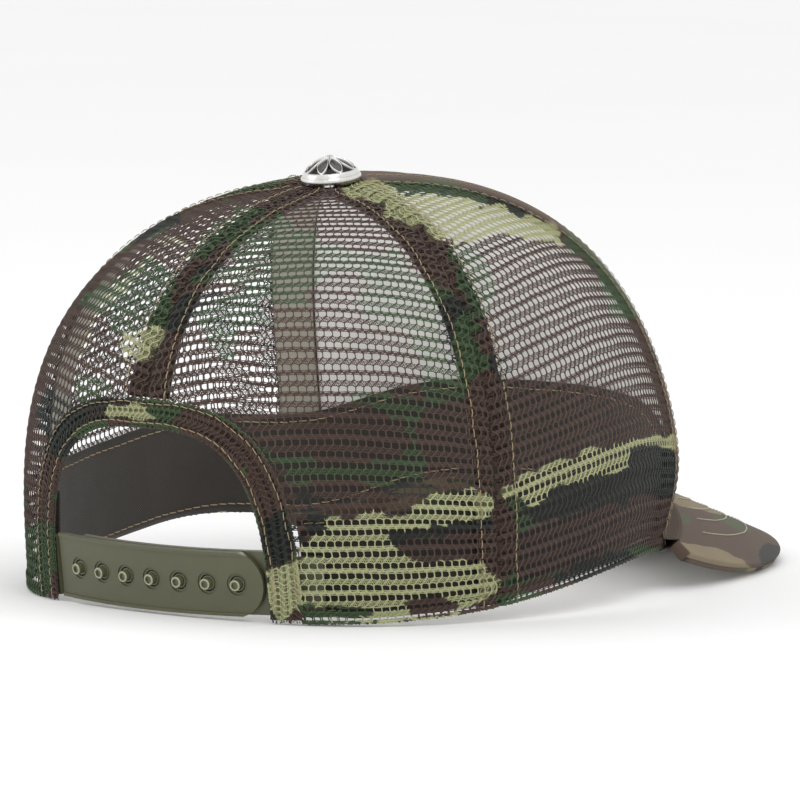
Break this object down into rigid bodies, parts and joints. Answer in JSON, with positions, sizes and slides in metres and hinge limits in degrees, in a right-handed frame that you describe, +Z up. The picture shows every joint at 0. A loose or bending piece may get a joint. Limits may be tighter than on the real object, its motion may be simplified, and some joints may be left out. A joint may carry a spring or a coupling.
{
  "type": "trucker cap",
  "caption": "Camouflage trucker cap with one solid front panel, mesh side and back panels, a bent stitched brim, a domed metal top button and a plastic snap strap across an arched rear opening.",
  "frame": {"origin": "middle of the footprint of the cap standing on its brim and rear edge", "axes": "+Z up, brim towards -Y, wearer's left towards +X; the plane of the head opening is pitched 9.13 degrees nose up"},
  "size_m": [0.163, 0.2582, 0.1179],
  "materials": {
    "camo_twill": "matte woven camouflage twill",
    "camo_mesh": "matte warp-knit camouflage mesh",
    "seam_tape": "matte tape",
    "sweatband": "matte brushed cotton",
    "foam": "matte foam laminate",
    "board": "matte moulded sheet",
    "olive_plastic": "satin moulded plastic",
    "silver": "polished silver",
    "dark_metal": "blackened",
    "steel": "plain steel"
  },
  "bodies": {
    "cap": {"front_panel": "camo_twill", "front_panel_foam": "foam", "side_panel_right": "camo_mesh", "side_panel_left": "camo_mesh", "back_panel_right": "camo_mesh", "back_panel_left": "camo_mesh", "front_seam_tape_right": "seam_tape", "front_seam_tape_left": "seam_tape", "side_seam_tape_right": "seam_tape", "side_seam_tape_left": "seam_tape", "back_seam_tape": "seam_tape", "rear_opening_binding": "camo_mesh", "sweatband": "sweatband", "brim_board": "board", "brim_top_cover": "camo_twill", "brim_under_cover": "camo_twill", "hole_strap_anchor": "olive_plastic", "peg_strap_anchor": "olive_plastic", "button_shell": "silver", "button_insert": "dark_metal", "button_shank": "steel", "button_backing_disc": "steel"},
    "hole_strap_body": {"hole_strap": "olive_plastic"},
    "peg_strap_body": {"peg_strap": "olive_plastic"}
  },
  "joints": [
    {"name": "hole_strap_bend", "type": "hinge", "parent": "cap", "child": "hole_strap_body", "pos_m": [0.03483, 0.11871, 0.01016], "axis": [0, -0.1587, -0.9873], "range_deg": [0, 70]},
    {"name": "peg_strap_bend", "type": "hinge", "parent": "cap", "child": "peg_strap_body", "pos_m": [-0.03433, 0.1168, 0.01046], "axis": [0, -0.1587, -0.9873], "range_deg": [0, 40]}
  ]
}
